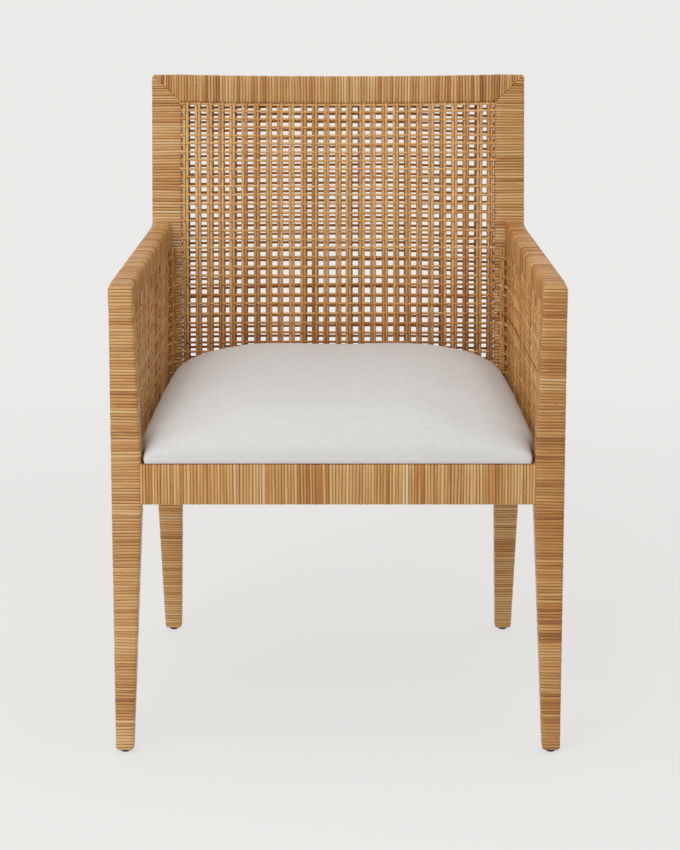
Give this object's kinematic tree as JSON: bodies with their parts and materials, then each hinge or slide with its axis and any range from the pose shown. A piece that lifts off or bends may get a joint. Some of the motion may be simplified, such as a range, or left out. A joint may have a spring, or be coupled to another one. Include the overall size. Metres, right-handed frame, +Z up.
{
  "type": "dining armchair",
  "caption": "Dining armchair with a rattan-wrapped hardwood frame, open double-woven back and arm panels, and a crowned upholstered seat pad.",
  "frame": {"origin": "on the floor, under the middle of the chair's outer box", "axes": "+X to the right seen from the front, +Y to the back, +Z up"},
  "size_m": [0.598, 0.6381, 0.8514],
  "materials": {
    "frame_wood": "planed hardwood, hidden by the wrap",
    "block_wood": "sawn hardwood, unfinished",
    "rattan_wrap": "clear-lacquered rattan strand, closely wound",
    "rattan_weave": "clear-lacquered rattan strand, openly woven",
    "seat_plywood": "plywood, unfinished",
    "seat_foam": "polyurethane foam with a batting layer",
    "seat_fabric": "off-white plain weave upholstery cloth",
    "dust_cloth": "black non-woven cloth",
    "screw_steel": "zinc-plated wood screw",
    "glide_steel": "black enamelled nail-on glide"
  },
  "bodies": {
    "root": {"crest_rail": "frame_wood", "front_seat_rail": "frame_wood", "rear_seat_rail": "frame_wood", "front_leg_left": "frame_wood", "front_leg_right": "frame_wood", "rear_post_left": "frame_wood", "rear_post_right": "frame_wood", "arm_rail_left": "frame_wood", "arm_rail_right": "frame_wood", "side_seat_rail_left": "frame_wood", "side_seat_rail_right": "frame_wood", "front_corner_block_left": "block_wood", "front_corner_block_right": "block_wood", "rear_corner_block_left": "block_wood", "rear_corner_block_right": "block_wood", "crest_wrap": "rattan_wrap", "front_rail_wrap": "rattan_wrap", "rear_rail_wrap": "rattan_wrap", "front_leg_wrap_left": "rattan_wrap", "front_leg_wrap_right": "rattan_wrap", "rear_post_wrap_left": "rattan_wrap", "rear_post_wrap_right": "rattan_wrap", "arm_wrap_left": "rattan_wrap", "arm_wrap_right": "rattan_wrap", "side_rail_wrap_left": "rattan_wrap", "side_rail_wrap_right": "rattan_wrap", "back_weave_front_warps": "rattan_weave", "back_weave_front_wefts": "rattan_weave", "back_weave_rear_warps": "rattan_weave", "back_weave_rear_wefts": "rattan_weave", "arm_weave_inner_warps_left": "rattan_weave", "arm_weave_inner_warps_right": "rattan_weave", "arm_weave_inner_wefts_left": "rattan_weave", "arm_weave_inner_wefts_right": "rattan_weave", "arm_weave_outer_warps_left": "rattan_weave", "arm_weave_outer_warps_right": "rattan_weave", "arm_weave_outer_wefts_left": "rattan_weave", "arm_weave_outer_wefts_right": "rattan_weave", "seat_board": "seat_plywood", "seat_foam": "seat_foam", "seat_cover": "seat_fabric", "seat_dust_cover": "dust_cloth", "seat_screws": "screw_steel", "floor_glides": "glide_steel"}
  },
  "joints": []
}
